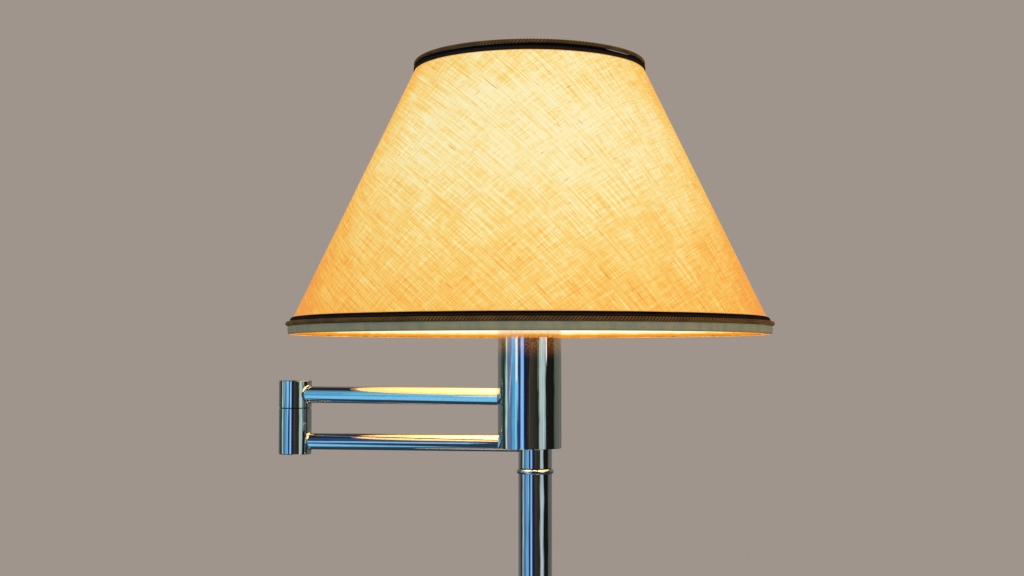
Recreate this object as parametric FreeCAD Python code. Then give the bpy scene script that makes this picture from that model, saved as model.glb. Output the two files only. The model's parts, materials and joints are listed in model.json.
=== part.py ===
import FreeCAD, Part
import math
import os

# A bridge floor lamp: a weighted round base, a straight pole, two folded swing arms and a lit head under
# a coned linen shade. All sizes are in millimetres. The origin is on the floor under the pole's axis, +Z is
# up, and the folded head hangs on the -Y side of the pole.

# Overall sizes
arm_height = 1045.0  # floor to the axis of the lower arm
arm_length = 181.0  # bare tube between the two surfaces that an arm joins
lower_arm_heading = 170.0  # degrees, from the pole to the elbow, seen from above
fold_angle = 14.5  # degrees between the two arms
base_radius = 140.0
base_height = 30.0
shade_bottom_radius = 189.9  # outside of the linen, from the lower edge up to the top of the hem
shade_top_radius = 90.3
shade_height = 215.0
head_skirt = 12.0  # how far the shade's lower edge hangs below the top of the head tube

# Tubes
pole_radius = 14.0
pole_wall = 1.5
elbow_radius = 14.0
elbow_wall = 1.5
arm_radius = 7.0
arm_wall = 1.2
head_radius = 25.4
head_wall = 1.5
head_length = 102.0
head_below_arm = 40.2  # the upper arm's axis down to the lower end of the head tube

# Clearances
fit_gap = 0.03  # radial, between a piece and the tube or hole that it is pushed or screwed into
run_gap = 0.05  # radial, between a turning shank and its bush
face_gap = 0.1  # between two faces that turn on each other
braze_gap = 0.02  # between a coped tube end and the wall that it is brazed to
edge_break = 0.6  # chamfer on turned ends that show
head_edge_break = 0.3
hidden_break = 0.2
overshoot = 1.0  # how far a hole is carried past the faces that it opens
tiny = 0.01

# Base
pad_thickness = 2.0
pad_inset = 4.0
cover_wall = 1.0
cover_edge_height = 15.0
cover_edge_fillet = 7.0
cover_floor_gap = 1.0
cover_flat_radius = 34.0
cover_flat_fillet = 40.0
weight_gap = 0.4  # between the weight and the cover around it
nut_well_radius = 26.0
web_thickness = 7.0  # iron left above the nut well
channel_width = 11.0
inlet_height = 7.5  # floor to the axis of the cord inlet
inlet_bore_radius = 3.2
inlet_radius = 4.6
inlet_flange_radius = 6.0
inlet_flange = 1.8
inlet_flange_edge = 0.7
inlet_length = 9.0

# Pole foot
rod_radius = 5.0
rod_bore_radius = 3.0
rod_tail = 1.0  # rod left below the clamping nut
rod_grip = 24.0  # rod screwed into the foot plug
plug_length = 30.0
washer_radius = 16.0
washer_thickness = 1.6
base_nut_across = 17.0
base_nut_height = 5.5
nut_crown = 0.6  # share of a nut's corner overhang that is broken in height
flange_radius = 22.0
flange_height = 9.0
flange_lip = 2.0
flange_waist_out = 0.36  # share of the flange's width where its hollow side is deepest
flange_waist_up = 0.3  # share of the hollow side's height at the same place
flange_top_wall = 1.0

# Swivel on top of the pole
ring_height = 4.1
ring_overhang = 1.5
ring_edge = 0.9  # upright rim below the ring's coned side
ring_neck = 0.1  # the coned side's upper edge out from the tubes
sleeve_below_arm = 20.0
sleeve_above_arm = 29.0
cap_rise = 3.0  # from the sleeve to the crown of its cap
cap_spigot = 6.0
cap_lip = 1.2
washer_film = 0.6  # thickness of the nylon thrust washers
spindle_bore_radius = 4.5
spindle_shoulder = 10.0
spindle_length = 66.0
top_bush_length = 18.0
low_bush_length = 12.0
spring_thickness = 0.8
spring_rise = 0.7
spindle_nut_height = 4.5
spindle_nut_clear = 0.6  # from a spindle nut's corners out to the tube around it
spindle_tail = 1.0

# Elbow
barrel_below_arm = 11.0
seam_above_arm = 28.5
upper_barrel_height = 22.4
seam_width = 0.8
barrel_floor = 2.5
bottom_recess = 0.5
elbow_bore_radius = 4.0
elbow_shoulder_clear = 1.0  # from the spindle's shoulder up to the upper arm's bore
elbow_bush_length = 14.6
elbow_nut_height = 3.4
elbow_cap_rise = 0.7
elbow_cap_rounding = 0.5
elbow_tail = 0.5

# Turning stops: a pin under each spindle's shoulder runs in a pocket of the bush and meets a lug there
stop_pin_radius = 1.2
stop_pin_seat = 3.0
pocket_wall = 0.9
pocket_inner_wall = 0.6
stop_pin_side_gap = 0.285
pocket_depth = 4.2
pocket_floor_gap = 0.6
swivel_lug_half_angle = 9.0
elbow_lug_half_angle = 5.0
elbow_lug_heading = 17.0  # degrees from the elbow's stop pin to the lug, as folded

# Head
cap_thickness = 3.0
bottom_cap_recess = 1.0
nipple_radius = 4.8
nipple_bore_radius = 3.2
nipple_below_cap = 9.0
nipple_above_cap = 12.0
nipple_nut_across = 14.0
nipple_nut_height = 4.0
saddle_width = 13.0
saddle_thickness = 1.6
saddle_half_span = 22.5
saddle_ear = 11.0
saddle_bend = 1.4  # outer radius of the saddle's bends

# Lampholder and bulb, heights counted from the top of the saddle
holder_cup_height = 17.0
holder_cup_radius = 18.0
holder_neck_radius = 7.0
holder_neck_height = 4.0
cup_shoulder_out = 0.84  # share of the cup's radius at the middle of its shoulder
cup_shoulder_up = 0.42  # share of the cup's height at the same place
holder_wall = 0.6
holder_shell_radius = 17.2
holder_shell_top = 52.0
holder_flare = 1.6
holder_overlap = 3.0
insulator_radius = 15.8
insulator_top = 30.0
insulator_foot_radius = 7.8
insulator_foot = 12.0
insulator_bevel = 2.0
insulator_bore_radius = 3.8
screw_shell_radius = 14.6
screw_shell_wall = 0.5
screw_shell_top = 50.0
contact_radius = 3.5
contact_height = 1.6
contact_stem = 3.0
bulb_base_radius = 13.2
bulb_base_length = 25.0
bulb_base_tip = 4.0
bulb_tip_radius = 9.2
bulb_base_bevel = 1.5
bulb_radius = 30.0
bulb_neck_radius = 13.6
bulb_neck_rise = 0.3  # share of the way up to the ball's widest circle where the neck begins to open
bulb_neck_lean = 32.0  # degrees below the ball's widest circle where the neck meets it
bulb_length = 108.0
bulb_wall = 0.8
key_height = 22.0
key_shank_radius = 1.6
key_shank_inside = 8.0
key_reach = 40.0  # lampholder's axis to the outer edge of the key
key_long = 15.0
key_wide = 9.0
key_thick = 3.0
key_corner = 3.8
key_hub_radius = 2.8
key_hub_length = 5.0

# Harp and shade frame
harp_wire_radius = 1.6
harp_widest = 57.0
harp_foot_rise = 0.16  # heights of the harp's bends as shares of its own height
harp_bow_low = 0.42
harp_bow_high = 0.68
harp_high_width = 0.97  # widths of its upper bends as shares of the widest
harp_crown_width = 0.5
ferrule_radius = 3.1
ferrule_length = 10.0
stud_seat_radius = 6.0
stud_seat_top_radius = 4.8
stud_seat_height = 4.0
stud_radius = 3.1
stud_height = 9.0
spider_drop = 12.0  # top edge of the linen down to the top of the spider's hub
spider_hub_radius = 11.0
spider_hub_thickness = 1.6
spider_leg_radius = 1.3
spider_leg_root = 3.0  # a leg's inner end in from the hub's rim
spider_leg_level = 16.0  # a leg's level run beyond the hub
spider_leg_count = 3
spider_heading = 90.0  # degrees, of the first leg
ring_wire_radius = 1.4
finial_radius = 6.5
finial_height = 15.0
finial_foot_radius = 5.5
finial_foot_height = 1.6
finial_neck_radius = 3.6
finial_neck_low = 3.2
finial_neck_high = 4.6
finial_crown_radius = 2.3
finial_crown_drop = 0.8
finial_gap = 0.1

# Shade covering and trim
shade_wall = 1.0
seam_lap = 10.0
hem_height = 6.3
hem_proud = 1.1
piping_height = 3.5
piping_proud = 1.6  # of the linen at the middle of the piping
gold_cord_radius = 1.7
low_cord_out = 0.2  # the lower gold cord's centre line out from the hem's face
cord_seat = 0.6  # share of the cord's radius that the hem's lip reaches behind it
top_band_height = 4.8
top_band_proud = 2.7
top_band_edge = 0.6
trim_gap = 0.05

# Inner wires
wire_radius = 1.5
wire_bend = 9.0
wire_end_gap = 0.3
free_bend = 0.45  # share of its shorter run that the bend of a harp or spider wire takes up

# Places that follow from the sizes above
pole_bore = pole_radius - pole_wall
elbow_bore = elbow_radius - elbow_wall
arm_bore = arm_radius - arm_wall
head_bore = head_radius - head_wall
pole_bush_radius = pole_bore - fit_gap
elbow_bush_radius = elbow_bore - fit_gap
pocket_width = 2 * (stop_pin_radius + stop_pin_side_gap)
spindle_radius = pole_bush_radius - pocket_wall - pocket_width - pocket_inner_wall
elbow_spindle_radius = elbow_bush_radius - pocket_wall - pocket_width - pocket_inner_wall
spindle_nut_across = 2 * (pole_bore - spindle_nut_clear) * math.cos(math.radians(30.0))
elbow_nut_across = 2 * (elbow_bore - spindle_nut_clear) * math.cos(math.radians(30.0))
elbow_shoulder = upper_barrel_height / 2 - arm_bore - elbow_shoulder_clear
ring_top = arm_height - sleeve_below_arm - washer_film - face_gap
pole_top = ring_top - ring_height
sleeve_bottom = arm_height - sleeve_below_arm
sleeve_top = arm_height + sleeve_above_arm
barrel_bottom = arm_height - barrel_below_arm
seam_bottom = arm_height + seam_above_arm - seam_width / 2
seam_top = seam_bottom + seam_width
barrel_top = seam_top + upper_barrel_height
upper_arm_height = (seam_top + barrel_top) / 2
head_bottom = upper_arm_height - head_below_arm
head_top = head_bottom + head_length
saddle_top = head_top + saddle_thickness
shade_bottom = head_top - head_skirt
shade_top = shade_bottom + shade_height
hem_top = shade_bottom + hem_height
piping_low = hem_top + gold_cord_radius * 2
piping_top = piping_low + piping_height
hub_top = shade_top - spider_drop
hub_bottom = hub_top - spider_hub_thickness
harp_top = hub_bottom - stud_seat_height

lower_reach = pole_radius + arm_length + elbow_radius
upper_reach = elbow_radius + arm_length + head_radius
upper_arm_heading = lower_arm_heading + 180.0 - fold_angle
linen_slope = (shade_bottom_radius - shade_top_radius) / (shade_top - hem_top)


def along(start, heading, reach):
    turn = math.radians(heading)
    return (start[0] + reach * math.cos(turn), start[1] + reach * math.sin(turn))


pole = (0.0, 0.0)
elbow = along(pole, lower_arm_heading, lower_reach)
head = along(elbow, upper_arm_heading, upper_reach)

nodes = {}


def keep(name, *solids):
    nodes[name] = solids[0] if len(solids) == 1 else Part.makeCompound(list(solids))


def spot(centre, height):
    return FreeCAD.Vector(centre[0], centre[1], height)


def post(centre, low, high, radius):
    return Part.makeCylinder(radius, high - low, spot(centre, low))


def pipe(centre, low, high, radius, bore):
    return post(centre, low, high, radius).cut(post(centre, low - overshoot, high + overshoot, bore))


def rod(start, heading, height, length, radius):
    # A level round bar from a point of an upright axis.
    turn = math.radians(heading)
    way = FreeCAD.Vector(math.cos(turn), math.sin(turn), 0.0)
    return Part.makeCylinder(radius, length, spot(start, height), way)


def turned(outline, centre=pole):
    # An outline in (radius, height) turned about an upright axis. A pair is a corner that a straight run
    # reaches, and four numbers are an arc: a point that it passes through, then its end.
    def corner(radius, height):
        return FreeCAD.Vector(centre[0] + radius, centre[1], height)

    here = start = corner(*outline[0])
    edges = []
    for step in outline[1:]:
        there = corner(*step[-2:])
        if len(step) == 4:
            edges.append(Part.Arc(here, corner(*step[:2]), there).toShape())
        else:
            edges.append(Part.LineSegment(here, there).toShape())
        here = there
    edges.append(Part.LineSegment(here, start).toShape())
    face = Part.Face(Part.Wire(edges))
    return face.revolve(spot(centre, 0.0), FreeCAD.Vector(0.0, 0.0, 1.0), 360.0)


def dome(radius, low, rise):
    # The arc step from the edge of a domed top up to its crown on the axis.
    ball = (radius**2 + rise**2) / (2 * rise)
    via = radius / 2
    return (via, low + rise - ball + math.sqrt(ball**2 - via**2), 0.0, low + rise)


def rounded(radius, high, rounding):
    # The arc step that rounds the upper outer edge of a turned piece.
    inset = rounding * (1 - math.cos(math.radians(45.0)))
    return (radius - inset, high - inset, radius - rounding, high)


def nut(centre, low, high, across, bore):
    # A six-sided nut with its corners broken at both ends.
    corner_radius = across / 2 / math.cos(math.radians(30.0))
    crown = (corner_radius - across / 2) * nut_crown
    corners = [spot(along(centre, 60.0 * side, corner_radius), low) for side in range(7)]
    prism = Part.Face(Part.makePolygon(corners)).extrude(FreeCAD.Vector(0.0, 0.0, high - low))
    outline = [
        (bore, low),
        (across / 2, low),
        (corner_radius, low + crown),
        (corner_radius, high - crown),
        (across / 2, high),
        (bore, high),
    ]
    return prism.common(turned(outline, centre))


def bent_path(points, bend=None):
    # Straight runs joined by tangent arcs. With no bend given, each arc is about as large as its runs allow.
    here = points[0]
    edges = []
    for before, point, after in zip(points, points[1:], points[2:]):
        way_in = (point - before).normalize()
        way_out = (after - point).normalize()
        half_turn = way_in.getAngle(way_out) / 2
        shorter = min((point - before).Length, (after - point).Length)
        radius = bend or free_bend * shorter / math.tan(half_turn)
        setback = radius * math.tan(half_turn)
        inward = (way_out - way_in).normalize()
        middle = point + inward * (radius / math.cos(half_turn) - radius)
        arc_start = point - way_in * setback
        arc_end = point + way_out * setback
        edges.append(Part.LineSegment(here, arc_start).toShape())
        edges.append(Part.Arc(arc_start, middle, arc_end).toShape())
        here = arc_end
    edges.append(Part.LineSegment(here, points[-1]).toShape())
    return Part.Wire(edges)


def tube_along(points, radius, bend=None):
    path = bent_path(points, bend)
    section = Part.Wire(Part.makeCircle(radius, points[0], (points[1] - points[0]).normalize()))
    solid = path.makePipeShell([section], True, False)
    wanted = math.pi * radius**2 * path.Length
    share = solid.Volume / wanted
    print(f"tube of radius {radius}: {path.Length:.1f} long, {share:.4f} of its section times its length")
    return solid


def rim_edges(shape, radius, height):
    # The circles of an edge about the pole's axis at one radius and height.
    found = []
    for edge in shape.Edges:
        box = edge.BoundBox
        level = abs(box.ZMin - height) < tiny and abs(box.ZMax - height) < tiny
        if level and abs(box.XMax - radius) < tiny:
            found.append(edge)
    return found


def base_form(inset, low):
    # The base's rounded disc, drawn in by an inset on its side and its top.
    radius = base_radius - inset
    edge = cover_edge_height - inset
    top = base_height - inset
    disc = turned([(0.0, low), (radius, low), (radius, edge), (cover_flat_radius, top), (0.0, top)])
    disc = disc.makeFillet(cover_edge_fillet - inset, rim_edges(disc, radius, edge))
    return disc.makeFillet(cover_flat_fillet, rim_edges(disc, cover_flat_radius, top))


def make_base():
    keep("base_pad", post(pole, 0.0, pad_thickness, base_radius - pad_inset))

    inlet_way = 90.0
    inlet_start = (0.0, base_radius - inlet_length)
    shell = base_form(0.0, cover_floor_gap).cut(base_form(cover_wall, cover_floor_gap - overshoot))
    hole_low = base_height - cover_wall - overshoot
    shell = shell.cut(post(pole, hole_low, base_height + overshoot, rod_radius + fit_gap))
    inlet_hole = rod(inlet_start, inlet_way, inlet_height, inlet_length * 2, inlet_radius + fit_gap)
    keep("base_cover", shell.cut(inlet_hole))

    weight = base_form(cover_wall + weight_gap, pad_thickness)
    well_top = base_height - cover_wall - weight_gap - web_thickness
    weight = weight.cut(post(pole, pad_thickness, well_top, nut_well_radius))
    weight = weight.cut(post(pole, 0.0, base_height, rod_radius + fit_gap))
    channel_top = inlet_height + channel_width / 2
    channel_floor = spot((-channel_width / 2, 0.0), pad_thickness)
    channel = Part.makeBox(channel_width, base_radius, channel_top - pad_thickness, channel_floor)
    keep("base_weight", weight.cut(channel))

    inside = (0.0, base_radius - inlet_length + inlet_flange)
    bushing = rod(inside, inlet_way, inlet_height, inlet_length - inlet_flange, inlet_radius)
    flange_start = (0.0, base_radius)
    flange = rod(flange_start, inlet_way, inlet_height, inlet_flange, inlet_flange_radius)
    outer_face = base_radius + inlet_flange - tiny
    rim = [edge for edge in flange.Edges if edge.BoundBox.YMin > outer_face]
    flange = flange.makeFillet(inlet_flange_edge, rim)
    bore = rod(inlet_start, inlet_way, inlet_height, inlet_length * 2, inlet_bore_radius)
    keep("cord_inlet_bushing", bushing.fuse(flange).removeSplitter().cut(bore))

    washer_top = well_top
    nut_top = washer_top - washer_thickness
    nut_bottom = nut_top - base_nut_height
    rod_bottom = nut_bottom - rod_tail
    keep("base_washer", pipe(pole, nut_top, washer_top, washer_radius, rod_radius + fit_gap))
    keep("base_nut", nut(pole, nut_bottom, nut_top, base_nut_across, rod_radius + fit_gap))
    keep("base_rod", pipe(pole, rod_bottom, base_height + rod_grip, rod_radius, rod_bore_radius))
    return rod_bottom


def make_pole():
    foot = pipe(pole, base_height, base_height + plug_length, pole_bore - fit_gap, rod_radius + fit_gap)
    keep("pole_foot_plug", foot)
    keep("pole_tube", pipe(pole, base_height, pole_top, pole_radius, pole_bore))

    inner = pole_radius + fit_gap
    slope_height = flange_height - flange_lip
    waist_radius = inner + (flange_radius - inner) * flange_waist_out
    waist_height = base_height + flange_lip + slope_height * flange_waist_up
    collar = [
        (inner, base_height),
        (flange_radius, base_height),
        (flange_radius, base_height + flange_lip),
        (waist_radius, waist_height, inner + flange_top_wall, base_height + flange_height),
        (inner, base_height + flange_height),
    ]
    keep("pole_flange", turned(collar))

    outer = pole_radius + ring_overhang
    ring = [
        (pole_bore, pole_top),
        (outer, pole_top),
        (outer, pole_top + ring_edge),
        (pole_radius + ring_neck, ring_top),
        (pole_bore, ring_top),
    ]
    keep("collar_ring", turned(ring))


def pocketed_bush(centre, low, high, radius, shank_radius, lug_heading, lug_half_angle):
    # A nylon bush with a round pocket in its top face for the stop pin, and a lug left standing in it.
    bush = pipe(centre, low, high, radius, shank_radius + run_gap)
    inner = shank_radius + pocket_inner_wall
    outer = radius - pocket_wall
    floor = high - pocket_depth
    mouth = high + overshoot
    profile = [(inner, floor), (outer, floor), (outer, mouth), (inner, mouth), (inner, floor)]
    corners = [FreeCAD.Vector(centre[0] + r, centre[1], z) for r, z in profile]
    face = Part.Face(Part.makePolygon(corners))
    upright = FreeCAD.Vector(0.0, 0.0, 1.0)
    face.rotate(spot(centre, 0.0), upright, lug_heading + lug_half_angle)
    return bush.cut(face.revolve(spot(centre, 0.0), upright, 360.0 - 2 * lug_half_angle))


def disc_spring(centre, top, bore, radius):
    # A coned spring washer that keeps the joint stiff to turn.
    outline = [
        (bore, top - spring_rise - spring_thickness),
        (radius, top - spring_thickness),
        (radius, top),
        (bore, top - spring_rise),
    ]
    return turned(outline, centre)


def stop_pin_place(centre, bush_radius, heading):
    return along(centre, heading, bush_radius - pocket_wall - pocket_width / 2)


def stop_pin(place, shoulder_bottom):
    low = shoulder_bottom - washer_film - face_gap - pocket_depth + pocket_floor_gap
    return post(place, low, shoulder_bottom + stop_pin_seat, stop_pin_radius)


def thrust_washer(centre, low, radius, bore, pin_place):
    washer = pipe(centre, low, low + washer_film, radius, bore)
    hole_top = low + washer_film + overshoot
    return washer.cut(post(pin_place, low - overshoot, hole_top, stop_pin_radius + fit_gap))


def make_swivel():
    # The sleeve turns on the pole on a long hollow spindle that hangs in two bushes inside the pole tube.
    away = lower_arm_heading + 180.0
    pin_place = stop_pin_place(pole, pole_bush_radius, away)

    sleeve = pipe(pole, sleeve_bottom, sleeve_top, pole_radius, pole_bore)
    sleeve = sleeve.cut(rod(pole, lower_arm_heading, arm_height, pole_radius * 2, arm_bore))
    keep("swivel_sleeve", sleeve)
    cap = [
        (0.0, sleeve_top - cap_spigot),
        (pole_bush_radius, sleeve_top - cap_spigot),
        (pole_bush_radius, sleeve_top),
        (pole_radius, sleeve_top),
        (pole_radius, sleeve_top + cap_lip),
        dome(pole_radius, sleeve_top + cap_lip, cap_rise - cap_lip),
    ]
    keep("sleeve_cap", turned(cap))

    shank_bottom = sleeve_bottom - spindle_length
    spindle = [
        (spindle_bore_radius, shank_bottom),
        (spindle_radius, shank_bottom),
        (spindle_radius, sleeve_bottom),
        (pole_bush_radius, sleeve_bottom),
        (pole_bush_radius, sleeve_bottom + spindle_shoulder),
        (spindle_bore_radius, sleeve_bottom + spindle_shoulder),
    ]
    pin = stop_pin(pin_place, sleeve_bottom)
    pin_top = sleeve_bottom + stop_pin_seat
    pin_hole = post(pin_place, sleeve_bottom - overshoot, pin_top, stop_pin_radius + fit_gap)
    keep("swivel_spindle", turned(spindle).cut(pin_hole))
    keep("swivel_stop_pin", pin)

    washer_low = sleeve_bottom - washer_film
    washer_radius_out = pole_radius - edge_break
    washer = thrust_washer(pole, washer_low, washer_radius_out, spindle_radius + fit_gap, pin_place)
    keep("swivel_washer", washer)
    top_bush = pocketed_bush(
        pole,
        ring_top - top_bush_length,
        ring_top,
        pole_bush_radius,
        spindle_radius,
        lower_arm_heading,
        swivel_lug_half_angle,
    )
    keep("pole_top_bush", top_bush)

    nut_bottom = shank_bottom + spindle_tail
    nut_top = nut_bottom + spindle_nut_height
    spring_top = nut_top + spring_thickness + spring_rise
    bush_low = spring_top + face_gap
    low_bush = pipe(pole, bush_low, bush_low + low_bush_length, pole_bush_radius, spindle_radius + run_gap)
    keep("pole_low_bush", low_bush)
    keep("swivel_spring", disc_spring(pole, spring_top, spindle_radius + fit_gap, spindle_nut_across / 2))
    keep("swivel_nut", nut(pole, nut_bottom, nut_top, spindle_nut_across, spindle_radius + fit_gap))
    return shank_bottom


def arm_tube(start, start_radius, finish, finish_radius, heading, height, reach):
    # A tube between two upright walls, each end coped to sit on the wall's curve.
    tube = rod(start, heading, height, reach, arm_radius).cut(rod(start, heading, height, reach, arm_bore))
    low = height - arm_radius * 2
    high = height + arm_radius * 2
    tube = tube.cut(post(start, low, high, start_radius + braze_gap))
    return tube.cut(post(finish, low, high, finish_radius + braze_gap))


def broken_tube(centre, low, high, radius, bore, low_break, high_break):
    # A barrel's wall with its outer edges chamfered where they show.
    outline = [
        (bore, low),
        (radius - low_break, low),
        (radius, low + low_break),
        (radius, high - high_break),
        (radius - high_break, high),
        (bore, high),
    ]
    return turned(outline, centre)


def make_lower_arm():
    keep(
        "lower_arm_tube",
        arm_tube(pole, pole_radius, elbow, elbow_radius, lower_arm_heading, arm_height, lower_reach),
    )
    breaks = (edge_break, hidden_break)
    barrel = broken_tube(elbow, barrel_bottom, seam_bottom, elbow_radius, elbow_bore, *breaks)
    back = lower_arm_heading + 180.0
    barrel = barrel.cut(rod(elbow, back, arm_height, elbow_radius * 2, arm_bore))
    keep("elbow_lower_barrel", barrel)
    floor_low = barrel_bottom + bottom_recess
    keep("elbow_bottom_cap", post(elbow, floor_low, floor_low + barrel_floor, elbow_bush_radius))

    pin_heading = upper_arm_heading + 180.0
    lug_heading = pin_heading + elbow_lug_heading
    bush = pocketed_bush(
        elbow,
        seam_bottom - elbow_bush_length,
        seam_bottom,
        elbow_bush_radius,
        elbow_spindle_radius,
        lug_heading,
        elbow_lug_half_angle,
    )
    keep("elbow_bush", bush)


def make_elbow_top():
    # The upper barrel turns on the lower one on a short hollow spindle, held from below by a nut.
    keep(
        "elbow_upper_barrel",
        broken_tube(elbow, seam_top, barrel_top, elbow_radius, elbow_bore, hidden_break, hidden_break).cut(
            rod(elbow, upper_arm_heading, upper_arm_height, elbow_radius * 2, arm_bore)
        ),
    )
    spigot_bottom = barrel_top - (barrel_top - upper_arm_height - arm_bore) / 2
    cap_top = barrel_top + elbow_cap_rise
    cap = [
        (0.0, spigot_bottom),
        (elbow_bush_radius, spigot_bottom),
        (elbow_bush_radius, barrel_top),
        (elbow_radius, barrel_top),
        (elbow_radius, cap_top - elbow_cap_rounding),
        rounded(elbow_radius, cap_top, elbow_cap_rounding),
        (0.0, cap_top),
    ]
    keep("elbow_top_cap", turned(cap, elbow))

    pin_place = stop_pin_place(elbow, elbow_bush_radius, upper_arm_heading + 180.0)
    spring_top = seam_bottom - elbow_bush_length - face_gap
    nut_top = spring_top - spring_rise - spring_thickness
    nut_bottom = nut_top - elbow_nut_height
    shank_bottom = nut_bottom - elbow_tail
    spindle = [
        (elbow_bore_radius, shank_bottom),
        (elbow_spindle_radius, shank_bottom),
        (elbow_spindle_radius, seam_top),
        (elbow_bush_radius, seam_top),
        (elbow_bush_radius, seam_top + elbow_shoulder),
        (elbow_bore_radius, seam_top + elbow_shoulder),
    ]
    pin_top = seam_top + stop_pin_seat
    pin_hole = post(pin_place, seam_top - overshoot, pin_top, stop_pin_radius + fit_gap)
    keep("elbow_spindle", turned(spindle, elbow).cut(pin_hole))
    keep("elbow_stop_pin", stop_pin(pin_place, seam_top))
    washer_low = seam_top - washer_film
    washer_outer = elbow_radius - edge_break * 2
    washer = thrust_washer(elbow, washer_low, washer_outer, elbow_spindle_radius + fit_gap, pin_place)
    keep("elbow_washer", washer)

    bore = elbow_spindle_radius + fit_gap
    keep("elbow_spring", disc_spring(elbow, spring_top, bore, elbow_nut_across / 2))
    keep("elbow_nut", nut(elbow, nut_bottom, nut_top, elbow_nut_across, bore))


def make_head():
    keep(
        "upper_arm_tube",
        arm_tube(elbow, elbow_radius, head, head_radius, upper_arm_heading, upper_arm_height, upper_reach),
    )
    back = upper_arm_heading + 180.0
    ends = (head_edge_break, head_edge_break)
    tube = broken_tube(head, head_bottom, head_top, head_radius, head_bore, *ends)
    keep("head_tube", tube.cut(rod(head, back, upper_arm_height, head_radius * 2, arm_bore)))
    cap_low = head_bottom + bottom_cap_recess
    cap_radius = head_bore - fit_gap
    keep("head_bottom_cap", post(head, cap_low, cap_low + cap_thickness, cap_radius))
    keep("head_top_cap", pipe(head, head_top - cap_thickness, head_top, cap_radius, nipple_radius + fit_gap))

    nipple_low = head_top - cap_thickness - nipple_below_cap
    nipple_top = head_top + nipple_above_cap
    keep("lamp_nipple", pipe(head, nipple_low, nipple_top, nipple_radius, nipple_bore_radius))
    nut_top = head_top - cap_thickness
    nut_bottom = nut_top - nipple_nut_height
    keep("nipple_nut", nut(head, nut_bottom, nut_top, nipple_nut_across, nipple_radius + fit_gap))

    # The saddle is a flat strip with both ends turned up.
    strip_corner = FreeCAD.Vector(head[0] - saddle_half_span, head[1] - saddle_width / 2, head_top)
    strip = Part.makeBox(saddle_half_span * 2, saddle_width, saddle_thickness, strip_corner)
    ears = []
    for side in (-1.0, 1.0):
        outer = head[0] + side * saddle_half_span
        low_x = min(outer, outer - side * saddle_thickness)
        ear_corner = FreeCAD.Vector(low_x, head[1] - saddle_width / 2, head_top)
        ears.append(Part.makeBox(saddle_thickness, saddle_width, saddle_ear, ear_corner))
    saddle = strip.fuse(ears).removeSplitter()
    bends = []
    for edge in saddle.Edges:
        box = edge.BoundBox
        runs_across = box.XLength < tiny and box.YLength > saddle_width - tiny
        if runs_across and box.ZMax < head_top + tiny:
            bends.append(edge)
    saddle = saddle.makeFillet(saddle_bend, bends)
    hole = post(head, head_top - overshoot, saddle_top + overshoot, nipple_radius + fit_gap)
    keep("harp_saddle", saddle.cut(hole))


def make_lampholder():
    low = saddle_top
    shell_low = low + holder_cup_height - holder_overlap
    inner = holder_cup_radius - holder_wall
    neck_top = low + holder_neck_height
    shoulder = (holder_cup_radius * cup_shoulder_out, low + holder_cup_height * cup_shoulder_up)
    inner_shoulder = (shoulder[0] - holder_wall, shoulder[1] + holder_wall)
    cup = [
        (nipple_radius + fit_gap, low),
        (holder_neck_radius, low),
        (holder_neck_radius, neck_top),
        (*shoulder, holder_cup_radius, low + holder_cup_height),
        (inner, low + holder_cup_height),
        (*inner_shoulder, holder_neck_radius - holder_wall, neck_top + holder_wall),
        (nipple_radius + fit_gap, neck_top + holder_wall),
    ]
    keep("holder_cup", turned(cup, head))

    top = low + holder_shell_top
    shell_inner = holder_shell_radius - holder_wall
    flare_low = top - holder_flare * 2
    shell = [
        (shell_inner, shell_low),
        (holder_shell_radius, shell_low),
        (holder_shell_radius, flare_low),
        (holder_shell_radius + holder_flare, top),
        (shell_inner + holder_flare, top),
        (shell_inner, flare_low),
    ]
    key_way = 270.0
    key_hole = rod(head, key_way, low + key_height, holder_shell_radius * 2, key_shank_radius + run_gap)
    keep("holder_shell", turned(shell, head).cut(key_hole))

    block_top = low + insulator_top
    block_low = low + insulator_foot
    side_low = shell_low + holder_overlap
    block = [
        (insulator_bore_radius, block_low),
        (insulator_foot_radius, block_low),
        (insulator_radius - insulator_bevel, side_low - insulator_bevel),
        (insulator_radius, side_low),
        (insulator_radius, block_top),
        (insulator_bore_radius, block_top),
    ]
    keep("holder_insulator", turned(block, head).cut(key_hole))
    stem = post(head, block_top - contact_stem, block_top, insulator_bore_radius - fit_gap)
    keep("centre_contact", post(head, block_top, block_top + contact_height, contact_radius).fuse(stem))
    screw_bore = screw_shell_radius - screw_shell_wall
    keep("screw_shell", pipe(head, block_top, low + screw_shell_top, screw_shell_radius, screw_bore))

    stem_start = along(head, key_way, insulator_radius - key_shank_inside)
    key_level = low + key_height
    stem_length = key_reach - key_wide / 2 - insulator_radius + key_shank_inside
    stem = rod(stem_start, key_way, key_level, stem_length, key_shank_radius)
    hub_start = along(head, key_way, key_reach - key_wide - key_hub_length / 2)
    hub = rod(hub_start, key_way, key_level, key_hub_length, key_hub_radius)
    blade_corner = FreeCAD.Vector(head[0] - key_long / 2, head[1] - key_reach, key_level - key_thick / 2)
    blade = Part.makeBox(key_long, key_wide, key_thick, blade_corner)
    corners = [edge for edge in blade.Edges if edge.BoundBox.ZLength > key_thick - tiny]
    blade = blade.makeFillet(key_corner, corners)
    knob = blade.fuse(hub).removeSplitter()
    keep("switch_key", knob.fuse(stem).removeSplitter())
    return block_top + contact_height


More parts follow.
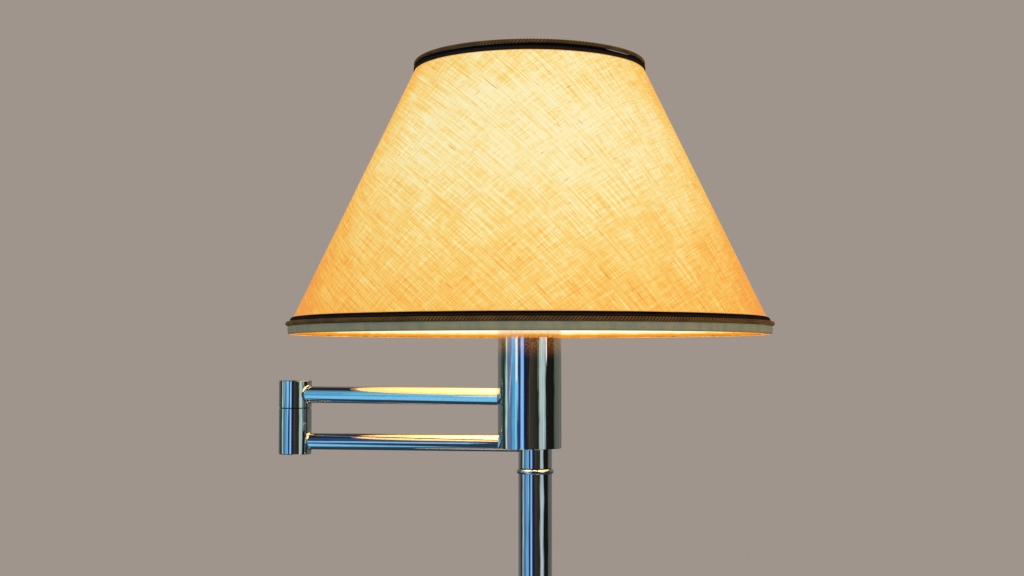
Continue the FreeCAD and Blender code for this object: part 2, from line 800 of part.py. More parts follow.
def make_bulb(low):
    base_low = low + face_gap
    collar_low = base_low + bulb_base_tip
    base_top = base_low + bulb_base_length
    base = [
        (0.0, base_low),
        (contact_radius, base_low),
        (bulb_tip_radius, collar_low),
        (bulb_base_radius, collar_low + bulb_base_bevel),
        (bulb_base_radius, base_top),
        (0.0, base_top),
    ]
    keep("bulb_base", turned(base, head))

    # The glass is a ball on a tapered neck, blown thin.
    top = base_low + bulb_length
    widest = top - bulb_radius
    neck_low = base_top

    def glass(inset):
        ball = bulb_radius - inset
        lean = math.radians(bulb_neck_lean)
        tangent = (ball * math.cos(lean), widest - ball * math.sin(lean))
        side = (ball * math.cos(lean / 2), widest - ball * math.sin(lean / 2))
        crown = (ball * math.cos(math.radians(45.0)), widest + ball * math.sin(math.radians(45.0)))
        waist = (bulb_neck_radius - inset, neck_low + (widest - neck_low) * bulb_neck_rise)
        outline = [
            (0.0, neck_low + inset),
            (bulb_neck_radius - inset, neck_low + inset),
            waist,
            tangent,
            (*side, ball, widest),
            (*crown, 0.0, widest + ball),
        ]
        return turned(outline, head)

    keep("bulb_glass", glass(0.0).cut(glass(bulb_wall)))


def make_harp():
    foot = saddle_half_span - saddle_thickness / 2
    low = head_top + saddle_ear + fit_gap
    tall = harp_top - low
    half_outline = [
        (foot, low),
        (foot, low + tall * harp_foot_rise),
        (harp_widest, low + tall * harp_bow_low),
        (harp_widest * harp_high_width, low + tall * harp_bow_high),
        (harp_widest * harp_crown_width, harp_top - harp_wire_radius),
    ]
    left = [FreeCAD.Vector(head[0] - x, head[1], z) for x, z in half_outline]
    right = [FreeCAD.Vector(head[0] + x, head[1], z) for x, z in reversed(half_outline)]
    wire = tube_along(left + right, harp_wire_radius)

    # The stud welded on the crown carries the spider's hub, and the finial clamps it.
    stud = [
        (0.0, harp_top - harp_wire_radius),
        (stud_seat_radius, harp_top - harp_wire_radius),
        (stud_seat_top_radius, hub_bottom),
        (stud_radius, hub_bottom),
        (stud_radius, hub_bottom + stud_height),
        (0.0, hub_bottom + stud_height),
    ]
    keep("harp", wire.fuse(turned(stud, head)).removeSplitter())

    # A ferrule slides over each turned-up ear and the foot of the wire that stands on it.
    ferrules = []
    for side in (-1.0, 1.0):
        centre = (head[0] + side * foot, head[1])
        ferrule_low = low - fit_gap
        bore = harp_wire_radius + fit_gap
        ferrules.append(pipe(centre, ferrule_low, ferrule_low + ferrule_length, ferrule_radius, bore))
    keep("harp_ferrules", *ferrules)


def linen(height):
    # Radius of the linen's outer face at a height: upright behind the hem and coned above it.
    return shade_bottom_radius - linen_slope * max(height - hem_top, 0.0)


def wire_inside_linen(height):
    # Radius of a frame ring whose wire lies against the panel's inner face.
    slope = linen_slope if height > hem_top else 0.0
    return linen(height) - shade_wall - ring_wire_radius * math.hypot(1.0, slope) - trim_gap


def make_shade_frame():
    ring_level = shade_top - ring_wire_radius * 2
    ring_radius = wire_inside_linen(ring_level)
    hub = pipe(head, hub_bottom, hub_top, spider_hub_radius, stud_radius + fit_gap)
    legs = []
    for leg in range(spider_leg_count):
        heading = spider_heading + 360.0 / spider_leg_count * leg
        middle = (hub_bottom + hub_top) / 2
        points = [
            spot(along(head, heading, spider_hub_radius - spider_leg_root), middle),
            spot(along(head, heading, spider_hub_radius + spider_leg_level), middle),
            spot(along(head, heading, ring_radius), ring_level),
        ]
        legs.append(tube_along(points, spider_leg_radius))
    ring = Part.makeTorus(ring_radius, ring_wire_radius, spot(head, ring_level))
    keep("shade_spider", hub.fuse(legs + [ring]).removeSplitter())
    low_ring_level = shade_bottom + ring_wire_radius * 2
    low_ring = wire_inside_linen(low_ring_level)
    keep("shade_bottom_ring", Part.makeTorus(low_ring, ring_wire_radius, spot(head, low_ring_level)))

    neck_low = hub_top + finial_neck_low
    neck_high = hub_top + finial_neck_high
    finial_top = hub_top + finial_height
    knob = [
        (0.0, hub_top),
        (finial_foot_radius, hub_top),
        (finial_foot_radius, hub_top + finial_foot_height),
        (finial_neck_radius, neck_low),
        (finial_neck_radius, neck_high),
        (finial_radius, (neck_high + finial_top) / 2, finial_crown_radius, finial_top - finial_crown_drop),
        (0.0, finial_top),
    ]
    hole_top = hub_bottom + stud_height + finial_gap
    stud_hole = post(head, hub_top - overshoot, hole_top, stud_radius + fit_gap)
    keep("finial", turned(knob, head).cut(stud_hole))


def make_shade():
    def coned(outer_gap, thickness):
        low_radius = shade_bottom_radius + outer_gap
        high_radius = shade_top_radius + outer_gap
        outline = [
            (low_radius, shade_bottom),
            (low_radius, hem_top),
            (high_radius, shade_top),
            (high_radius - thickness, shade_top),
            (low_radius - thickness, hem_top),
            (low_radius - thickness, shade_bottom),
        ]
        return turned(outline, head)

    # The lap where the panel's two ends are glued stands proud as a narrow strip at the back.
    clear_top = shade_top - top_band_height - trim_gap
    clear_bottom = piping_top + trim_gap
    strip_corner = FreeCAD.Vector(head[0] - seam_lap / 2, head[1], clear_bottom)
    strip_room = Part.makeBox(seam_lap, shade_bottom_radius * 2, clear_top - clear_bottom, strip_corner)
    lap = coned(shade_wall / 2, shade_wall).common(strip_room)
    keep("shade_panel", coned(0.0, shade_wall).fuse(lap).removeSplitter())

    hem_inner = shade_bottom_radius + trim_gap
    hem_outer = shade_bottom_radius + hem_proud
    hem = pipe(head, shade_bottom, hem_top, hem_outer, hem_inner)
    cord_height = hem_top + gold_cord_radius + trim_gap
    cord_ring = hem_outer + low_cord_out
    keep("bottom_gold_cord", Part.makeTorus(cord_ring, gold_cord_radius, spot(head, cord_height)))

    # A lip on the hem fills the room between the cord and the linen behind it.
    lip_high = piping_low - trim_gap
    lip_outer = cord_ring - gold_cord_radius * cord_seat
    lip = [
        (hem_inner, hem_top),
        (lip_outer, hem_top),
        (lip_outer, lip_high),
        (linen(lip_high) + trim_gap, lip_high),
    ]
    cord_room = Part.makeTorus(cord_ring, gold_cord_radius + trim_gap, spot(head, cord_height))
    keep("shade_hem", hem.fuse(turned(lip, head).cut(cord_room)).removeSplitter())

    # The piping is a padded tape, flat against the linen and round outside.
    piping_middle = (piping_low + piping_top) / 2
    crest = linen(piping_middle) + piping_proud
    piping = [
        (linen(piping_low) + trim_gap, piping_low),
        (crest, piping_middle, linen(piping_top) + trim_gap, piping_top),
    ]
    keep("bottom_piping", turned(piping, head))

    band_low = shade_top - top_band_height
    band_outer = shade_top_radius + top_band_proud
    band = [
        (linen(band_low) + trim_gap, band_low),
        (band_outer, band_low),
        (band_outer, shade_top - top_band_edge),
        (band_outer - top_band_edge, shade_top),
        (shade_top_radius + trim_gap, shade_top),
    ]
    keep("top_dark_band", turned(band, head))
    top_cord_height = shade_top + gold_cord_radius + trim_gap
    top_cord_ring = band_outer - gold_cord_radius
    keep("top_gold_cord", Part.makeTorus(top_cord_ring, gold_cord_radius, spot(head, top_cord_height)))


def make_wires(inlet_end, pole_split, elbow_split):
    # Each turning piece has its own length of wire, and they meet on the turning axes.
    def up_and_over(start, start_height, height, finish, finish_height):
        corners = (spot(start, height), spot(finish, height))
        return [spot(start, start_height), *corners, spot(finish, finish_height)]

    inlet = (0.0, inlet_end)
    in_pole = [spot(inlet, inlet_height), spot(pole, inlet_height), spot(pole, pole_split)]
    keep("pole_wire", tube_along(in_pole, wire_radius, wire_bend))
    in_lower = up_and_over(pole, pole_split + wire_end_gap, arm_height, elbow, elbow_split)
    keep("lower_arm_wire", tube_along(in_lower, wire_radius, wire_bend))
    holder_end = head_top + nipple_above_cap
    in_upper = up_and_over(elbow, elbow_split + wire_end_gap, upper_arm_height, head, holder_end)
    keep("upper_arm_wire", tube_along(in_upper, wire_radius, wire_bend))


make_base()
make_pole()
swivel_shank_bottom = make_swivel()
make_lower_arm()
make_elbow_top()
make_head()
bulb_seat = make_lampholder()
make_bulb(bulb_seat)
make_harp()
make_shade_frame()
make_shade()
swivel_middle = swivel_shank_bottom + spindle_length / 2
elbow_middle = seam_bottom - elbow_bush_length / 2
make_wires(base_radius - inlet_length / 2, swivel_middle, elbow_middle)

os.makedirs("parts", exist_ok=True)
for name, shape in nodes.items():
    shape.exportStep(f"parts/{name}.step")
print(f"{len(nodes)} nodes")
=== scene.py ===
import json
import math
import bpy
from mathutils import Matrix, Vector, noise


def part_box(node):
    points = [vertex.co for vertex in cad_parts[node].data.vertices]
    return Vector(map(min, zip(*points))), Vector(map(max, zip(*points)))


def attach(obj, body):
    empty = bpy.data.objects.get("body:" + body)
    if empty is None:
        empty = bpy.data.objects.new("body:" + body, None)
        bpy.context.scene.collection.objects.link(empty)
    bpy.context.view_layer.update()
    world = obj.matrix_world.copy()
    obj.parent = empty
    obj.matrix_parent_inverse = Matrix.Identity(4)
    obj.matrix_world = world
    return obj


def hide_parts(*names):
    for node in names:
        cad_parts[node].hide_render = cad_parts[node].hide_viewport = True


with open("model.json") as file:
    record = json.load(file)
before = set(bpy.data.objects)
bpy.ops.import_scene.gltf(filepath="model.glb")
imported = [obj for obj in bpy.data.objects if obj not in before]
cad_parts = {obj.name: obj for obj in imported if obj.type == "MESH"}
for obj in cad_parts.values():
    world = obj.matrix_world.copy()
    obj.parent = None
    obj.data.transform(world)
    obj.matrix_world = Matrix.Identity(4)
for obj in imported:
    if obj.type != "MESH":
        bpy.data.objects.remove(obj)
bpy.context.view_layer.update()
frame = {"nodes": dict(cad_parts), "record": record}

# A bridge floor lamp, lit. Metal parts keep the frame's own meshes and get finishes here, and the shade's
# cloth, tapes and twisted cords are built here. Metres, with the floor at zero under the pole.

slotOf = {part["node"]: part["material_slot"] for part in frame["record"]["subparts"]}


def tone(red, green, blue):
    # A colour as a screen shows it, 0 to 255, turned into the linear one that shaders take
    levels = [level / 255 for level in (red, green, blue)]
    linear = [((level + 0.055) / 1.055) ** 2.4 if level > 0.04 else level / 12.92 for level in levels]
    return (*linear, 1.0)


def smooth(low, high, value):
    share = min(max((value - low) / (high - low), 0.0), 1.0)
    return share * share * (3 - 2 * share)


def isWide(term):  # a colour or a vector, not a single value
    return isinstance(term, tuple) or isinstance(term, Sock) and term.out.type != "VALUE"


class Sock:  # one output of a node, which takes part in sums
    def __init__(self, paint, out):
        self.paint = paint
        self.out = out

    def sum(self, operation, *terms):
        wide = any(isWide(term) for term in terms)
        if wide:
            terms = [(term,) * 3 if isinstance(term, (int, float)) else term for term in terms]
        kind = "VectorMath" if wide else "Math"
        return self.paint.node(kind, {"operation": operation}, dict(enumerate(terms)))

    def __add__(self, other):
        return self.sum("ADD", self, other)

    def __radd__(self, other):
        return self.sum("ADD", other, self)

    def __sub__(self, other):
        return self.sum("SUBTRACT", self, other)

    def __rsub__(self, other):
        return self.sum("SUBTRACT", other, self)

    def __mul__(self, other):
        return self.sum("MULTIPLY", self, other)

    def __pow__(self, power):
        return self.sum("POWER", self, power)

    def fit(self, low, high, start=0.0, end=1.0):  # carries low..high onto start..end and holds beyond them
        ends = {"Value": self, "From Min": low, "From Max": high, "To Min": start, "To Max": end}
        return self.paint.node("MapRange", {"interpolation_type": "SMOOTHSTEP"}, ends)

    def axis(self, letter):
        return self.paint.node("SeparateXYZ", {}, {0: self}, "XYZ".index(letter))


class Paint:  # one material and its nodes
    def __init__(self, name):
        self.material = bpy.data.materials.new(name)
        self.material.use_nodes = True
        self.tree = self.material.node_tree
        self.tree.nodes.clear()

    def node(self, kind, settings, sockets, out=0):
        node = self.tree.nodes.new("ShaderNode" + kind)
        for key, value in settings.items():
            if key != "stops":
                setattr(node, key, value)
                continue
            for index, (spot, colour) in enumerate(value):
                ready = node.color_ramp.elements  # a new ramp has two stops
                stop = ready[index] if index < 2 else ready.new(spot)
                stop.position = spot
                stop.color = colour
        for key, value in sockets.items():
            socket = node.inputs[key]
            if isinstance(value, Sock):
                self.tree.links.new(value.out, socket)
            else:
                socket.default_value = value[:3] if socket.type == "VECTOR" else value
        return Sock(self, node.outputs[out] if node.outputs else None)

    def place(self):
        return self.node("TexCoord", {}, {}, "Object")

    def noise(self, where, scale, detail):
        return self.node("TexNoise", {}, {"Vector": where, "Scale": scale, "Detail": detail})

    def blend(self, factor, first, second):
        return self.node("Mix", {"data_type": "RGBA"}, {0: factor, 6: first, 7: second}, 2)

    def ramp(self, factor, *stops):
        return self.node("ValToRGB", {"stops": stops}, {0: factor})

    def bump(self, height, distance):
        return self.node("Bump", {}, {"Height": height, "Distance": distance})

    def distance(self, place, other):
        return self.node("VectorMath", {"operation": "DISTANCE"}, {0: place, 1: other}, "Value")

    def surface(self, values):
        shader = self.node("BsdfPrincipled", {}, values)
        self.node("OutputMaterial", {}, {"Surface": shader})
        return self.material

    def glow(self, colour, strength):
        shader = self.node("Emission", {}, {"Color": colour, "Strength": strength})
        self.node("OutputMaterial", {}, {"Surface": shader})
        return self.material


def chrome(name, grain, paintedGlowHeights=()):
    # Polished plate: faint lines along the drawing direction, soft smudges and a very slight waviness.
    # Between two heights, none at the first and full at the second, a speckled warm glow is painted in: a
    # painted reflection of the lit shade
    look = {
        "tone": tone(222, 224, 226), "stain": tone(206, 204, 200), "polish": 0.03, "smudge": 0.07,
        "wave": 0.00005, "unlit": (0.0, 0.0, 0.0, 1.0), "lit": tone(150, 92, 40),
    }
    paint = Paint(name)
    place = paint.place()
    lines = paint.noise(place * grain, 1.0, 3.0)
    smudge = paint.noise(place, 34.0, 4.0).fit(0.5, 0.78)
    colour = paint.blend(lines.fit(0.35, 0.8, 0.0, 0.7), look["tone"], look["stain"])
    roughness = look["polish"] + smudge * look["smudge"] + lines.fit(0.55, 0.8, 0.0, 0.03)
    normal = paint.bump(paint.noise(place * (45.0, 45.0, 12.0), 1.0, 1.0) + lines * 0.1, look["wave"])
    values = {"Base Color": colour, "Metallic": 1.0, "Roughness": roughness, "Normal": normal}
    if paintedGlowHeights:
        paintedGlow = place.axis("Z").fit(*paintedGlowHeights) * paint.noise(place, 1100.0, 3.0).fit(0.38, 0.68, 0.2, 1.0)
        values["Emission Color"] = paint.blend(paintedGlow, look["unlit"], look["lit"])
        values["Emission Strength"] = 1.0
    return paint.surface(values)


def plain(name, look):
    # Plain metal, felt or plastic: a blotchy tint, fine grain in the gloss and a little relief
    paint = Paint(name)
    place = paint.place()
    blotch = paint.noise(place, look["blotchScale"], 4.0)
    grain = paint.noise(place, look["grainScale"], 3.0)
    colour = paint.blend(blotch.fit(0.38, 0.68), look["tone"], look["second"])
    roughness = grain.fit(0.3, 0.7, look["gloss"], look["dull"])
    normal = paint.bump(grain + blotch * 0.4, look["relief"])
    values = {"Base Color": colour, "Metallic": look["metallic"], "Roughness": roughness, "Normal": normal}
    return paint.surface(values)


plainLooks = {
    "iron_weight": {
        "tone": tone(58, 56, 55), "second": tone(88, 66, 50), "metallic": 0.7,
        "gloss": 0.6, "dull": 0.85, "blotchScale": 40.0, "grainScale": 420.0, "relief": 0.0006,
    },
    "base_felt": {
        "tone": tone(34, 34, 36), "second": tone(48, 47, 48), "metallic": 0.0,
        "gloss": 0.9, "dull": 1.0, "blotchScale": 60.0, "grainScale": 1500.0, "relief": 0.0008,
    },
    "bright_zinc": {
        "tone": tone(196, 202, 208), "second": tone(186, 186, 176), "metallic": 1.0,
        "gloss": 0.26, "dull": 0.42, "blotchScale": 90.0, "grainScale": 900.0, "relief": 0.00003,
    },
    "pale_nylon": {
        "tone": tone(226, 221, 206), "second": tone(214, 207, 188), "metallic": 0.0,
        "gloss": 0.36, "dull": 0.5, "blotchScale": 50.0, "grainScale": 800.0, "relief": 0.00003,
    },
    "black_plastic": {
        "tone": tone(26, 25, 25), "second": tone(36, 34, 33), "metallic": 0.0,
        "gloss": 0.3, "dull": 0.46, "blotchScale": 70.0, "grainScale": 1300.0, "relief": 0.00005,
    },
    "nickel_plate": {
        "tone": tone(214, 206, 192), "second": tone(196, 184, 164), "metallic": 1.0,
        "gloss": 0.14, "dull": 0.26, "blotchScale": 60.0, "grainScale": 600.0, "relief": 0.00002,
    },
    "bare_brass": {
        "tone": tone(214, 178, 104), "second": tone(168, 126, 68), "metallic": 1.0,
        "gloss": 0.22, "dull": 0.4, "blotchScale": 120.0, "grainScale": 700.0, "relief": 0.00003,
    },
    "bulb_cap_metal": {
        "tone": tone(206, 206, 204), "second": tone(184, 180, 172), "metallic": 1.0,
        "gloss": 0.24, "dull": 0.38, "blotchScale": 80.0, "grainScale": 600.0, "relief": 0.00002,
    },
    "wire_cover": {
        "tone": tone(214, 206, 184), "second": tone(196, 184, 156), "metallic": 0.0,
        "gloss": 0.35, "dull": 0.5, "blotchScale": 40.0, "grainScale": 500.0, "relief": 0.00005,
    },
}


globeShare = 0.64  # of the bulb's glass, from its foot up to the middle of the globe


def frostedGlass():
    # Etched white bulb, hottest round the middle of its globe
    look = {"hot": tone(255, 250, 232), "cool": tone(255, 214, 140), "strength": 5.0, "frost": 0.00004}
    paint = Paint("frostedGlass")
    place = paint.place()
    low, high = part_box("bulb_glass")
    middle = low.lerp(high, globeShare)
    spread = paint.distance(place, middle)
    frost = paint.noise(place, 2600.0, 2.0)
    glow = paint.blend((spread + frost * 0.004).fit(0.028, 0.07), look["hot"], look["cool"])
    normal = paint.bump(frost, look["frost"])
    values = {"Base Color": tone(238, 234, 224), "Roughness": 0.45, "Normal": normal}
    return paint.surface({**values, "Emission Color": glow, "Emission Strength": look["strength"]})


finishes = {name: plain(name, look) for name, look in plainLooks.items()}
finishes["frosted_glass"] = frostedGlass()
uprightChrome = chrome("uprightChrome", (900.0, 900.0, 9.0))
armChrome = chrome("armChrome", (14.0, 900.0, 900.0))
turnedChrome = chrome("turnedChrome", (60.0, 60.0, 900.0))
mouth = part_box("shade_panel")[0].z
ownFinishes = {  # of parts that don't take the plain one of their slot
    # just under the shade's mouth the head tube gets the painted reflection of the lit shade
    "head_tube": chrome("headChrome", (900.0, 900.0, 9.0), (mouth - 0.021, mouth - 0.003)),
    "lower_arm_tube": armChrome,
    "upper_arm_tube": armChrome,
    "elbow_washer": finishes["black_plastic"],
    "swivel_washer": finishes["black_plastic"],
}
for name in ("base_cover", "pole_flange", "sleeve_cap", "elbow_top_cap", "elbow_bottom_cap", "finial"):
    ownFinishes[name] = turnedChrome

for name, part in frame["nodes"].items():
    finish = ownFinishes.get(name, finishes.get(slotOf[name], uprightChrome))
    part.data.materials.clear()
    part.data.materials.append(finish)
print("finishes on", len(frame["nodes"]), "frame parts")


# The shade's measures come from the frame
panelLow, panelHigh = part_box("shade_panel")
headLow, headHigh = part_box("head_tube")
bandLow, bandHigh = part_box("top_dark_band")
cordLow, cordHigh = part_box("bottom_gold_cord")
pipingLow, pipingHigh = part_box("bottom_piping")
topCordLow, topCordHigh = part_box("top_gold_cord")
hemLow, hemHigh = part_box("shade_hem")
bulbLow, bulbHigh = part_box("bulb_glass")

shade = {
    "centre": ((headLow.x + headHigh.x) / 2, (headLow.y + headHigh.y) / 2),
    "low": panelLow.z,
    "hemTop": cordLow.z - 0.00005,
    "high": panelHigh.z,
    "lowRadius": (panelHigh.x - panelLow.x) / 2,
    "highRadius": (bandHigh.x - bandLow.x) / 2 - 0.0027,
    "wall": 0.001,  # the linen with its liner
    "skin": 0.0005,
    "seamAngle": 90.0,  # degrees, at the back
    "lap": 0.010,
    "wire": 0.0014,  # radius of the frame rings at both edges
}
shade["slope"] = (shade["lowRadius"] - shade["highRadius"]) / (shade["high"] - shade["hemTop"])


def linenRadius(height):  # upright behind the hem and coned above it
    return shade["lowRadius"] - max(height - shade["hemTop"], 0.0) * shade["slope"]


def onRing(angle, radius, height):
    across, deep = shade["centre"]
    return (across + radius * math.cos(angle), deep + radius * math.sin(angle), height)


def addPiece(name, rings, finish, stands=(), joined=True, plan=None, body="head"):
    # A skin over rings of points. Rings join end to end, or stay open with a cap at each end. A plan gives
    # each point its place in the flat cloth
    size = len(rings[0])
    count = len(rings)
    points = [point for ring in rings for point in ring]
    faces = []
    for number in range(count if joined else count - 1):
        here = number * size
        there = (number + 1) % count * size
        for side in range(size):
            after = (side + 1) % size
            faces.append((here + side, here + after, there + after, there + side))
    if not joined:
        for start in (0, (count - 1) * size):
            for side in range(size // 2 - 1):
                cap = (start + side, start + side + 1, start + size - 2 - side, start + size - 1 - side)
                faces.append(cap if start else cap[::-1])
    mesh = bpy.data.meshes.new(name)
    mesh.from_pydata(points, [], faces)
    mesh.update()
    mesh.shade_smooth()
    if plan:
        flat = [place for ring in plan for place in ring]
        layer = mesh.uv_layers.new(name="flatCloth")
        for corner in mesh.loops:
            layer.data[corner.index].uv = flat[corner.vertex_index]
    mesh.materials.append(finish)
    piece = bpy.data.objects.new(name, mesh)
    bpy.context.scene.collection.objects.link(piece)
    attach(piece, body)
    if stands:
        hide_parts(*stands)
    return piece


linenLook = {
    "pale": tone(254, 242, 190),
    "warm": tone(253, 218, 126),
    "deep": tone(252, 180, 68),
    "rim": tone(248, 160, 78),
    "slub": tone(240, 146, 50),
    "bounce": 0.2,  # how much of the colour is left to room light
    "glow": 0.84,
    "peak": 0.073,  # from the top edge down to the brightest height
    "threadTurn": 49.0,  # degrees, of the threads in the flat cloth at the front
    # Threads and groups of threads: how close and long they are, where they start, their colour and relief
    "threads": (
        ((1180.0, 44.0, 1.0), (0.0, 0.0, 0.0), 1.0, 1.0),
        ((26.0, 1120.0, 1.0), (7.0, 3.0, 0.0), 1.5, 1.0),
        ((470.0, 34.0, 1.0), (1.0, 9.0, 0.0), 0.35, 0.5),
        ((15.0, 430.0, 1.0), (5.0, 2.0, 0.0), 0.5, 0.5),
    ),
    # Thick places in the threads, their darker orange partly their own and partly painted shade where less
    # of the bulb's light comes through, placed like the threads, and where their edges begin and end
    "slubs": (
        ((760.0, 90.0, 1.0), (3.0, 4.0, 0.0), (0.71, 0.8)),
        ((46.0, 760.0, 1.0), (9.0, 6.0, 0.0), (0.67, 0.78)),
    ),
    "shadow": 0.0011,  # reach of a tape's shadow on the linen beside it
    "dim": 0.75,  # its strength right beside the tape
}


# The lit linen: the bulb's light through it is painted in as emission, brightest at one height and fading
# above and below, with painted shade at the left and right sides and painted shadows beside the tapes
def linenFinish():
    look = linenLook
    paint = Paint("linen")
    place = paint.place()
    cloth = paint.node("UVMap", {"uv_map": "flatCloth"}, {})
    turn = math.radians(look["threadTurn"])
    laid = paint.node("VectorRotate", {"rotation_type": "Z_AXIS"}, {"Vector": cloth, "Angle": turn})
    threads = 0.0
    relief = 0.0
    for scale, shift, weight, depth in look["threads"]:
        thread = paint.noise(laid * scale + shift, 1.0, 1.0)
        threads = (thread - 0.5) * weight + threads
        relief = thread * depth + relief
    spots = paint.noise(cloth, 430.0, 1.0).fit(0.73, 0.8)
    for scale, shift, edges in look["slubs"]:
        spots = paint.noise(laid * scale + shift, 1.0, 1.0).fit(*edges) + spots
    spots = spots.fit(0.0, 1.0, 0.0, 0.85)
    cloud = paint.noise(cloth, 30.0, 3.0)
    mottle = paint.noise(cloth, 260.0, 2.0)
    # Real places drive the painted glow: how far the cloth is from the height where the glow is brightest,
    # and how far round from the front, towards the left and right sides where painted shade turns it a
    # deeper orange
    height = place.axis("Z")
    rise = height - (shade["high"] - look["peak"])
    level = (rise * rise + 0.0003) ** 0.5 * 4.75 - rise * 0.85
    radius = shade["lowRadius"] - (height - shade["hemTop"]) * shade["slope"]
    aside = paint.node("Math", {"operation": "DIVIDE"}, {0: place.axis("X") - shade["centre"][0], 1: radius})
    paintedSideShade = aside * aside * 0.34 + (aside * aside).fit(0.6, 1.0, 0.0, 0.34)
    patches = (cloud - 0.5) * 0.5 + (mottle - 0.5) * 0.5
    stops = ((0.0, look["pale"]), (0.35, look["warm"]), (0.84, look["deep"]), (1.0, look["rim"]))
    colour = paint.ramp((level + paintedSideShade + threads + patches - 0.02) * 0.84, *stops)
    colour = paint.blend(spots, colour, look["slub"])
    lowShadow = height.fit(pipingHigh.z, pipingHigh.z + look["shadow"], look["dim"], 0.0)
    topShadow = height.fit(bandLow.z - look["shadow"], bandLow.z, 0.0, look["dim"])
    colour = paint.blend(lowShadow + topShadow, colour, look["rim"])
    clear = height.fit(pipingLow.z + 0.001, pipingHigh.z - 0.0006)  # no light from under the tapes
    clear = clear * height.fit(bandLow.z + 0.0006, bandLow.z + 0.0016, 1.0, 0.0)
    lit = colour * clear * look["glow"]
    values = {"Roughness": 0.85, "Normal": paint.bump(relief + spots, 0.0002), "Specular IOR Level": 0.15}
    values["Emission Strength"] = 1.0
    return paint.surface({**values, "Base Color": colour * look["bounce"], "Emission Color": lit})


def linerFinish():
    # The stiff white inner face, with the bulb's light on it painted in as emission, brightest beside the
    # bulb
    look = {
        "hot": tone(255, 240, 188), "warm": tone(255, 208, 104), "deep": tone(250, 152, 46),
        "strength": 1.35,
    }
    paint = Paint("liner")
    place = paint.place()
    bulb = (*shade["centre"], bulbLow.z + (bulbHigh.z - bulbLow.z) * globeShare)
    far = paint.distance(place, bulb)
    cloud = paint.noise(place, 60.0, 4.0)
    stops = ((0.0, look["hot"]), (0.5, look["warm"]), (1.0, look["deep"]))
    colour = paint.ramp((far + (cloud - 0.5) * 0.03).fit(0.10, 0.235), *stops)
    normal = paint.bump(paint.noise(place, 900.0, 2.0), 0.0001)
    values = {"Base Color": tone(238, 228, 204), "Roughness": 0.6, "Normal": normal}
    return paint.surface({**values, "Emission Color": colour, "Emission Strength": look["strength"]})


def conedSheet(name, inset, finish, stands=()):
    # One sheet bent round into a cone, its last centimetre lapped over its first
    look = {"columns": 240, "rows": 24}
    lapTurn = shade["lap"] / shade["lowRadius"]
    sine = shade["slope"] / math.hypot(1.0, shade["slope"])
    rise = shade["high"] - shade["hemTop"]
    heights = [shade["low"]]
    heights += [shade["hemTop"] + rise * row / look["rows"] for row in range(look["rows"] + 1)]
    rings = []
    plan = []
    for column in range(look["columns"] + 1):
        turn = column / look["columns"] * (2 * math.pi + lapTurn)
        angle = math.radians(shade["seamAngle"]) + turn
        proud = shade["skin"] * 2.1 * smooth(2 * math.pi - lapTurn, 2 * math.pi, turn)
        spread = (turn - math.pi) * sine
        outer = []
        inner = []
        flat = []
        for height in heights:
            radius = linenRadius(height) - inset + proud
            outer.append(onRing(angle, radius, height))
            inner.append(onRing(angle, radius - shade["skin"], height))
            slant = radius / sine + max(shade["hemTop"] - height, 0.0)
            flat.append((slant * math.sin(spread), -slant * math.cos(spread)))
        rings.append(outer + inner[::-1])
        plan.append(flat + flat[::-1])
    return addPiece(name, rings, finish, stands, False, plan)


linen = conedSheet("linenCover", 0.0, linenFinish(), ("shade_panel",))
liner = conedSheet("stiffLiner", shade["skin"] * 1.02, linerFinish())
reach = math.hypot(shade["high"] - shade["hemTop"], shade["lowRadius"] - shade["highRadius"])
area = math.pi * (shade["lowRadius"] + shade["highRadius"]) * reach
area += 2 * math.pi * shade["lowRadius"] * (shade["hemTop"] - shade["low"])
print("linen and liner")


def fromAxis(place):  # real places seen from the shade's axis
    return place - (*shade["centre"], 0.0)


def turnOf(around):
    return around.paint.node("Math", {"operation": "ARCTAN2"}, {0: around.axis("Y"), 1: around.axis("X")})


def reachOf(around):
    flat = around * (1.0, 1.0, 0.0)
    return around.paint.node("VectorMath", {"operation": "LENGTH"}, {0: flat}, "Value")


def wave(value):
    return value.paint.node("Math", {"operation": "SINE"}, {0: value})


def darkTapeFinish(name, low, high):
    # Closely woven near-black tape, deepest black along its upper half
    look = {"black": tone(4, 4, 7), "dark": tone(25, 19, 20), "thread": tone(50, 41, 39), "relief": 0.00012}
    paint = Paint(name)
    place = paint.place()
    height = place.axis("Z")
    rib = wave(turnOf(fromAxis(place)) * 900.0 + height * 2600.0)
    fuzz = paint.noise(place, 1900.0, 2.0)
    crease = paint.noise(place * (1.0, 1.0, 2.0), 90.0, 3.0)
    colour = paint.blend((rib * 0.12 + fuzz).fit(0.42, 0.72), look["dark"], look["thread"])
    edge = (height - low) * (1 / (high - low)) + (crease - 0.5) * 0.3
    colour = paint.blend(edge.fit(0.4, 0.6), colour, look["black"])
    normal = paint.bump(rib * 0.3 + fuzz + crease * 2.0, look["relief"])
    values = {"Base Color": colour, "Roughness": fuzz.fit(0.3, 0.7, 0.7, 0.9), "Normal": normal}
    return paint.surface({**values, "Specular IOR Level": 0.15})


